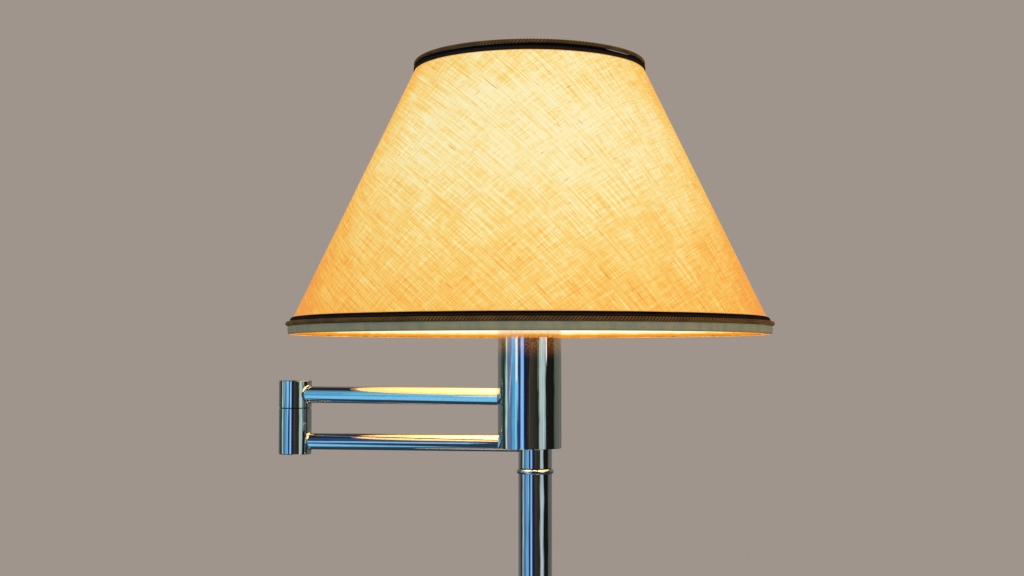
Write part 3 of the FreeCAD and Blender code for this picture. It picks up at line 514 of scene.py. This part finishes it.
def paleHemFinish():
    # The pale binding: the room lights its outside, and the bulb's light on what is turned inward is painted
    # in as emission, with painted shade in dark brown at the lowest edge, rising through orange and gold to
    # white
    look = {
        "pale": tone(160, 157, 130), "cool": tone(140, 146, 128), "relief": 0.00016,
        "edge": tone(110, 52, 12), "orange": tone(252, 148, 12),
        "gold": tone(255, 206, 76), "white": tone(255, 250, 218),
    }
    paint = Paint("paleHem")
    place = paint.place()
    around = fromAxis(place)
    height = place.axis("Z")
    grid = wave(turnOf(around) * 1300.0) * wave(height * 8000.0)
    cloud = paint.noise(place * (1.0, 1.0, 0.4), 130.0, 3.0)
    fuzz = paint.noise(place, 1700.0, 2.0)
    colour = paint.blend(cloud.fit(0.3, 0.7), look["pale"], look["cool"])
    colour = colour * (0.8 + fuzz * 0.4 + grid * 0.06)
    over = height.sum("MAXIMUM", height - shade["hemTop"], 0.0)
    inward = (shade["lowRadius"] - 0.0002 - over * shade["slope"] - reachOf(around)).fit(0.0, 0.0008)
    stops = ((0.0, look["edge"]), (0.1, look["orange"]), (0.34, look["orange"]))
    stops += ((0.46, look["gold"]), (0.66, look["white"]))
    lit = paint.ramp((height - shade["low"] - 0.0003) * 165.0 + (cloud - 0.5) * 0.3, *stops)
    normal = paint.bump(grid * 0.4 + fuzz + cloud, look["relief"])
    values = {"Base Color": colour * (1.0 - inward * 0.93), "Roughness": 0.85, "Normal": normal}
    values = {**values, "Specular IOR Level": 0.15, "Emission Color": lit * inward}
    return paint.surface({**values, "Emission Strength": 1.0})


def goldCordFinish(name, ring, level):
    # Lustrous twisted yarn, with painted shade in the valleys where its strands meet
    look = {
        "gold": tone(152, 106, 42), "brown": tone(122, 82, 32), "valleyShade": tone(16, 9, 3), "relief": 0.00015,
    }
    paint = Paint(name)
    place = paint.place()
    out = reachOf(fromAxis(place)) - ring
    up = place.axis("Z") - level
    depth = (out * out + up * up) ** 0.5
    fibre = paint.noise(place, 2600.0, 2.0)
    patch = paint.noise(place, 70.0, 3.0)
    colour = paint.blend(patch.fit(0.35, 0.68), look["gold"], look["brown"]) * (0.75 + fibre * 0.5)
    colour = paint.blend((depth + (fibre - 0.5) * 0.0002).fit(0.00128, 0.00164), look["valleyShade"], colour)
    roughness = fibre.fit(0.3, 0.7, 0.5, 0.7)
    normal = paint.bump(fibre, look["relief"])
    return paint.surface({"Base Color": colour, "Roughness": roughness, "Normal": normal})


def softRing(name, section, finish, stands, ripple, columns=360):
    # A section of (radius, height) points carried round the shade, nudged by a smooth ripple
    look = {"slow": 42.0, "quick": 150.0, "share": 0.4}
    rings = []
    for column in range(columns):
        angle = 2 * math.pi * column / columns
        ring = []
        for radius, height in section(angle):
            spot = Vector(onRing(angle, radius, height))
            sway = noise.noise(spot * look["slow"]) * ripple
            sway += noise.noise(spot * look["quick"]) * ripple * look["share"]
            ring.append(onRing(angle, radius + sway, height + sway * look["share"]))
        rings.append(ring)
    addPiece(name, rings, finish, stands)


binding = {
    "cloth": 0.00045,
    "reach": 0.0085,  # how far the cloth comes up inside, past the frame ring
    "puff": 0.0004,
    "lift": 0.0007,  # of the outer cloth above the frame's edge
    "seat": 0.0001,  # between the linen and what lies on it
    "near": 0.0011,  # both faces of the cloth inside, in from the linen's outside
    "far": 0.0016,
}


def wrapped(level, slope, degrees):
    # The cloth's way round a frame ring, at the given turns about the wire
    centre = linenRadius(level) - shade["wall"] - shade["wire"] * math.hypot(1.0, slope)
    wrap = shade["wire"] + binding["cloth"]
    turns = [math.radians(turn) for turn in degrees]
    return [(centre + wrap * math.cos(turn), level + wrap * math.sin(turn)) for turn in turns]


def hemSection(angle):
    # From the top of the outside down, under the edge and up round the ring inside
    low = shade["low"]
    top = shade["hemTop"]
    outer = (hemHigh.x - hemLow.x) / 2
    section = []
    for step in range(7):
        share = step / 6
        puff = binding["puff"] * math.sin(math.pi * share)
        section.append((outer - 0.0002 + puff, top - (top - low - binding["lift"]) * share))
    section += [(outer - 0.0005, low + 0.0003), (linenRadius(low) - 0.001, low + 0.0002)]
    section += wrapped(low + shade["wire"] * 2, 0.0, (265, 240, 215, 190, 165, 140, 118))
    upper = low + binding["reach"]
    section += [(linenRadius(upper) - binding["far"], upper), (linenRadius(upper) - binding["near"], upper)]
    section += [(linenRadius(low) - binding["near"], low + 0.001), (linenRadius(top) + binding["seat"], top)]
    return section


def pipingSection(angle):
    # Padded tape, flat against the linen and round outside
    low = pipingLow.z
    tall = pipingHigh.z - low
    section = []
    for step in range(11):
        share = step / 10
        height = low + tall * share
        puff = 0.00165 * (1 - abs(2 * share - 1) ** 2.6) ** 0.5
        section.append((linenRadius(height) + binding["seat"] + puff, height))
    return section + [(linenRadius(low + tall * 0.5) + 0.00005, low + tall * 0.5)]


band = {
    "outer": (bandHigh.x - bandLow.x) / 2,
    "slipFrom": -54.0,  # degrees; here the tape has slipped down and bares the binding
    "slipTo": -31.0,
    "slip": 0.0011,
}


def bandSection(angle):
    degrees = math.degrees(angle) - (360.0 if angle > math.pi else 0.0)
    middle = (band["slipFrom"] + band["slipTo"]) / 2
    reach = (band["slipTo"] - band["slipFrom"]) / 2
    high = bandHigh.z - band["slip"] * smooth(1.0, 0.45, abs(degrees - middle) / reach)
    low = bandLow.z
    wide = band["outer"]
    return [
        (linenRadius(low) + binding["seat"], low),
        (wide - 0.0001, low - 0.0001),
        (wide + 0.0001, low + 0.0008),
        (wide + 0.0001, low + 0.0029),
        (wide - 0.0003, high - 0.0007),
        (wide - 0.0009, high + 0.0001),
        (linenRadius(high) + binding["seat"], high),
    ]


def bindingSection(angle):
    # Pale binding over the top edge: under the cord outside and round the spider's ring inside
    high = shade["high"]
    section = [(linenRadius(high) + binding["seat"], high - 0.0013), (band["outer"] - 0.0009, high - 0.0012)]
    section += [(band["outer"] - 0.0008, high - 0.0005), (band["outer"] - 0.0014, high - 0.0001)]
    section += [(linenRadius(high) - 0.0012, high + 0.0002)]
    section += wrapped(high - shade["wire"] * 2, shade["slope"], (90, 120, 150, 180, 210, 240))
    lower = high - binding["reach"]
    section += [(linenRadius(lower) - binding["far"], lower), (linenRadius(lower) - binding["near"], lower)]
    return section + [(linenRadius(high) - binding["near"], high)]


def twistedCord(name, box, node):
    # Three strands laid round each other, with a little unevenness in the lay
    look = {"cord": 0.0017, "strands": 3, "pitch": 0.00765, "perTurn": 12, "sides": 8, "uneven": 0.5}
    low, high = box
    radius = (high.x - low.x) / 2 - look["cord"]
    height = (low.z + high.z) / 2
    finish = goldCordFinish(name + "Yarn", radius, height)
    strand = look["cord"] / (1 + 2 / math.sqrt(3))
    lay = look["cord"] - strand
    turns = round(2 * math.pi * radius / look["pitch"])
    lean = lay * turns / radius  # how far the strands lean out of the cord's own direction
    steps = turns * look["perTurn"]
    for number in range(look["strands"]):
        rings = []
        for step in range(steps):
            angle = 2 * math.pi * step / steps
            way = Vector((math.cos(angle), math.sin(angle), 0.0))
            twist = turns * angle + 2 * math.pi * number / look["strands"]
            twist += noise.noise(way * 9.0) * look["uneven"]
            ring = []
            for side in range(look["sides"]):
                turn = 2 * math.pi * side / look["sides"]
                out = lay + strand * math.cos(turn)
                across = strand * math.sin(turn) / math.hypot(1.0, lean)
                far = radius + out * math.cos(twist) - across * math.sin(twist)
                up = height + out * math.sin(twist) + across * math.cos(twist)
                ring.append(onRing(angle - across * lean / radius, far, up))
            rings.append(ring)
        addPiece(f"{name}.{number + 1}", rings, finish, () if number else (node,))


paleHem = paleHemFinish()
lowTape = darkTapeFinish("lowTape", pipingLow.z, pipingHigh.z)
topTape = darkTapeFinish("topTape", bandLow.z, bandHigh.z)
softRing("lowerHem", hemSection, paleHem, ("shade_hem",), 0.00014)
softRing("lowerPiping", pipingSection, lowTape, ("bottom_piping",), 0.00018, 480)
softRing("upperBand", bandSection, topTape, ("top_dark_band",), 0.00022)
softRing("upperBinding", bindingSection, paleHem, (), 0.00006)
twistedCord("lowerCord", (cordLow, cordHigh), "bottom_gold_cord")
twistedCord("upperCord", (topCordLow, topCordHigh), "top_gold_cord")
print("tapes, hem and cords")


def middleOf(node):
    low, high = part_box(node)
    return Vector(((low.x + high.x) / 2, (low.y + high.y) / 2, 0.0))


def brazeFillet(name, barrel, toward, tube, body):
    # The smooth hollow bead where a tube's coped end is brazed to an upright barrel
    look = {"leg": 0.0012, "sink": 0.0003, "columns": 72, "steps": 7}
    barrelLow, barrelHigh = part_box(barrel)
    tubeLow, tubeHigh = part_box(tube)
    centre = middleOf(barrel) + Vector((0.0, 0.0, (tubeLow.z + tubeHigh.z) / 2))
    ahead = (middleOf(toward) - middleOf(barrel)).normalized()
    aside = Vector((-ahead.y, ahead.x, 0.0))
    wall = (barrelHigh.x - barrelLow.x) / 2
    thick = (tubeHigh.z - tubeLow.z) / 2
    rings = []
    for column in range(look["columns"]):
        turn = 2 * math.pi * column / look["columns"]
        ring = []
        for step in range(look["steps"]):
            bend = math.pi / 2 * step / (look["steps"] - 1)
            off = thick + look["leg"] * (1 - math.sin(bend))
            out = math.sqrt(wall**2 - (off * math.cos(turn)) ** 2) + look["leg"] * (1 - math.cos(bend))
            ring.append((off, out))
        inside = math.sqrt(wall**2 - (thick * math.cos(turn)) ** 2) - look["sink"]
        ring.append((thick - look["sink"], ring[-1][1]))
        ring.append((thick - look["sink"], inside))
        ring.append((thick + look["leg"], ring[0][1] - look["sink"]))
        upright = Vector((0.0, 0.0, math.sin(turn)))
        rings.append([centre + ahead * out + (aside * math.cos(turn) + upright) * off for off, out in ring])
    addPiece(name, rings, uprightChrome, body=body)


brazeFillet("brazeFillet.1", "swivel_sleeve", "elbow_lower_barrel", "lower_arm_tube", "lower_arm")
brazeFillet("brazeFillet.2", "elbow_lower_barrel", "swivel_sleeve", "lower_arm_tube", "lower_arm")
brazeFillet("brazeFillet.3", "elbow_upper_barrel", "head_tube", "upper_arm_tube", "head")
brazeFillet("brazeFillet.4", "head_tube", "elbow_upper_barrel", "upper_arm_tube", "head")
print("braze fillets")


def collarBead():
    # The ring round the pole: a broad soft chamfer above, a narrow upright edge and a turned-in foot
    look = {
        "overhang": 0.0015, "chamfer": 0.0018, "bulge": 0.0002, "edge": 0.0006, "foot": 0.0004,
        "tuck": 0.0003, "sink": 0.0004, "columns": 120,
    }
    low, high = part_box("collar_ring")
    outer = (high.x - low.x) / 2
    inner = outer - look["overhang"]
    profile = [(inner, high.z)]
    for step in range(7):
        share = step / 6
        bulge = look["bulge"] * math.sin(math.pi * share)
        radius = inner + look["overhang"] * share + bulge * 0.7
        profile.append((radius, high.z - look["chamfer"] * share + bulge))
    profile += [(outer, high.z - look["chamfer"] - look["edge"])]
    profile += [(outer - look["tuck"], low.z + look["foot"])]
    profile += [(inner, low.z), (inner - look["sink"], low.z), (inner - look["sink"], high.z)]
    rings = []
    for column in range(look["columns"]):
        turn = 2 * math.pi * column / look["columns"]
        across = math.cos(turn)
        deep = math.sin(turn)
        rings.append([(radius * across, radius * deep, height) for radius, height in profile])
    addPiece("collarBead", rings, turnedChrome, ("collar_ring",), body="stand")


collarBead()
print("collar ring")


studio = {
    "backdrop": tone(160, 149, 140),
    "floor": tone(216, 211, 204),
    "fade": (2.6, 6.5),  # metres from the lamp over which the floor melts into the backdrop
    "wallRadius": 4.9,
    "wallTop": 6.4,
    "sides": 96,
    # What the plate mirrors, by degrees round from behind the camera: minus is to its left
    "stripes": [
        (-180, tone(116, 112, 108)), (-134, tone(104, 103, 102)), (-117, tone(66, 67, 68)),
        (-104, tone(28, 36, 36)), (-99, tone(64, 88, 78)), (-94, tone(186, 226, 204)),
        (-90, tone(150, 190, 178)), (-86, tone(100, 108, 132)), (-78, tone(112, 118, 156)),
        (-73, tone(70, 104, 150)), (-66, tone(84, 158, 208)), (-52, tone(122, 202, 240)),
        (-48, tone(150, 206, 238)), (-45, tone(90, 140, 186)), (-41, tone(30, 52, 96)),
        (-35, tone(36, 62, 110)), (-23, tone(52, 84, 112)), (-19, tone(30, 38, 68)),
        (-7, tone(28, 28, 44)), (-2, tone(66, 58, 50)), (14, tone(44, 44, 36)),
        (31, tone(40, 36, 30)), (36, tone(166, 184, 180)), (47, tone(196, 210, 210)),
        (55, tone(166, 184, 188)), (60, tone(26, 24, 21)), (95, tone(22, 20, 16)),
        (101, tone(84, 86, 76)), (122, tone(96, 96, 88)), (180, tone(116, 112, 108)),
    ],
    # Bright things in that room: degrees at the foot and at the head, width in degrees, low, high, tone
    "panes": [
        (-79, -66, 4.0, 0.93, 1.13, tone(172, 176, 214)), (-48, -46, 8.0, 1.02, 1.8, tone(228, 242, 250)),
        (29, 29, 1.6, 0.98, 1.7, tone(140, 130, 96)), (61, 60, 4.5, 1.1, 1.7, tone(246, 248, 240)),
        (-28, -27, 11.0, 0.0, 1.7, tone(138, 190, 244)),
    ],
    "glow": 1.32,
    "ceiling": tone(44, 40, 37),
    "cloth": (tone(42, 58, 70), tone(118, 194, 236)),  # mirrored floor, in the dark and in the daylight
}


def stagePiece(name, points, faces, material, seen=True):
    mesh = bpy.data.meshes.new(name)
    mesh.from_pydata(points, [], faces)
    mesh.materials.append(material)
    piece = bpy.data.objects.new(name, mesh)
    bpy.context.scene.collection.objects.link(piece)
    if not seen:
        piece.visible_camera = False
        piece.visible_diffuse = False
        piece.visible_transmission = False
        piece.visible_shadow = False


def ringFaces(columns):
    return [(2 * k, 2 * k + 1, 2 * ((k + 1) % columns) + 1, 2 * ((k + 1) % columns)) for k in range(columns)]


def ringPoints(columns, inner, outer):
    # Points of a band between two rings, each given as (radius, height)
    points = []
    for column in range(columns):
        turn = 2 * math.pi * column / columns
        for radius, height in (inner, outer):
            points.append((radius * math.cos(turn), radius * math.sin(turn), height))
    return points


def bearing(place):  # radians round from behind the camera
    sides = {0: place.axis("X"), 1: place.axis("Y") * -1.0}
    return place.paint.node("Math", {"operation": "ARCTAN2"}, sides)


def wallFinish():
    # Window light at the left, dark room and a pale doorway at the right, softly uneven up and down
    paint = Paint("mirroredRoom")
    place = paint.place()
    sway = paint.noise(place * (0.5, 0.5, 4.6), 1.0, 2.0) - 0.5
    ripple = paint.noise(place * (1.3, 1.3, 11.0) + (3.0, 0.0, 0.0), 1.0, 1.0) - 0.5
    share = bearing(place) * (0.5 / math.pi) + 0.5 + sway * 0.036 + ripple * 0.03
    stops = [((degrees + 180) / 360, colour) for degrees, colour in studio["stripes"]]
    colour = paint.ramp(share, *stops)
    streak = paint.noise(place * (4.5, 4.5, 0.9), 1.0, 3.0).fit(0.3, 0.7, 0.6, 1.3)
    tint = paint.blend(place.axis("Z").fit(0.5, 1.1), (0.96, 0.98, 1.04, 1.0), (0.96, 1.06, 1.0, 1.0))
    return paint.glow(colour * streak * tint, studio["glow"])


def glowFinish(name, shown):
    paint = Paint(name)
    uneven = paint.noise(paint.place(), 1.6, 3.0).fit(0.3, 0.7, 0.9, 1.06)
    return paint.glow(uneven * shown, studio["glow"])


def clothFinish():
    # Dark floor, with daylight on it at the front left beyond the lamp's own shade
    paint = Paint("mirroredFloor")
    place = paint.place()
    angle = bearing(place) + (paint.noise(place, 1.6, 3.0) - 0.5) * 0.2
    distance = paint.distance(place, (0.0, 0.0, 0.0))
    daylight = angle.fit(-1.45, -1.2) * angle.fit(-0.72, -0.56, 1.0, 0.0) * distance.fit(0.4, 0.85)
    return paint.glow(paint.blend(daylight, *studio["cloth"]), studio["glow"])


def floorFinish():
    # Pale floor that keeps the shadow near the lamp and melts into the backdrop far away
    paint = Paint("floor")
    place = paint.place()
    speckle = paint.noise(place, 9.0, 5.0)
    colour = paint.blend(speckle.fit(0.3, 0.7, 0.0, 0.08), studio["floor"], studio["backdrop"])
    near = paint.node("BsdfPrincipled", {}, {"Base Color": colour, "Roughness": 0.75})
    far = paint.node("Emission", {}, {"Color": studio["backdrop"], "Strength": 1.0})
    distance = paint.distance(place, (0.0, 0.0, 0.0))
    surface = paint.node("MixShader", {}, {0: distance.fit(*studio["fade"]), 1: near, 2: far})
    paint.node("OutputMaterial", {}, {"Surface": surface})
    return paint.material


wall = studio["wallRadius"]
top = studio["wallTop"]
sides = studio["sides"]
room = ringPoints(sides, (wall, 0.02), (wall, top))
stagePiece("mirroredRoom", room, ringFaces(sides), wallFinish(), False)
ceiling = glowFinish("mirroredCeiling", studio["ceiling"])
stagePiece("mirroredCeiling", ringPoints(sides, (0.01, top), (wall, top)), ringFaces(sides), ceiling, False)
cloth = ringPoints(sides, (0.36, 0.001), (wall, 0.001))
stagePiece("mirroredFloor", cloth, ringFaces(sides), clothFinish(), False)
for number, (foot, head, width, low, high, shown) in enumerate(studio["panes"]):
    corners = []
    for middle, height in ((foot, low), (head, high)):
        for side in (-0.5, 0.5):
            turn = math.radians(middle + side * width)
            corners.append(((wall - 0.05) * math.sin(turn), (0.05 - wall) * math.cos(turn), height))
    finish = glowFinish(f"pane.{number + 1}", shown)
    stagePiece(f"mirroredPane.{number + 1}", corners, [(0, 1, 3, 2)], finish, False)
corners = [(60 * x, 60 * y, -0.0005) for x, y in ((-1, -1), (1, -1), (1, 1), (-1, 1))]
stagePiece("floor", corners, [(0, 1, 2, 3)], floorFinish())

world = bpy.data.worlds.new("studio")
bpy.context.scene.world = world
world.use_nodes = True
world.node_tree.nodes["Background"].inputs["Color"].default_value = studio["backdrop"]


def softBox(name, place, target, size, watts, colour):
    data = bpy.data.lights.new(name, "AREA")
    data.size = size
    data.energy = watts
    data.color = colour
    lamp = bpy.data.objects.new(name, data)
    bpy.context.scene.collection.objects.link(lamp)
    lamp.location = place
    lamp.rotation_euler = (Vector(target) - Vector(place)).to_track_quat("-Z", "Y").to_euler()
    lamp.visible_camera = False
    lamp.visible_glossy = False


softBox("keyLeft", (-2.3, -2.4, 2.5), (0, 0, 0.9), 1.8, 34.0, (0.66, 0.9, 1.0))
softBox("fillRight", (2.4, -2.0, 1.8), (0, 0, 0.9), 1.6, 36.0, (1.0, 0.92, 0.78))
softBox("backTop", (0.4, 2.6, 2.8), (0, 0, 0.9), 1.8, 24.0, (1.0, 0.98, 0.95))
underShade = (*shade["centre"], shade["low"] + 0.004)
softBox("shadeMouth", underShade, (*shade["centre"], 0.0), 0.22, 1.3, (1.0, 0.8, 0.5))
print("studio")


# The camera stands where the photograph was taken
view = {"place": (-0.0193, -1.1919, 1.1167), "lens": 50.0, "sensor": 36.0, "pitch": 2.8}
lens = bpy.data.cameras.new("camera")
lens.lens = view["lens"]
lens.sensor_width = view["sensor"]
lens.clip_end = 200.0
camera = bpy.data.objects.new("camera", lens)
bpy.context.scene.collection.objects.link(camera)
camera.location = view["place"]
camera.rotation_euler = (math.radians(90.0 + view["pitch"]), 0.0, 0.0)
bpy.context.scene.camera = camera
bpy.context.scene.view_settings.view_transform = "Standard"
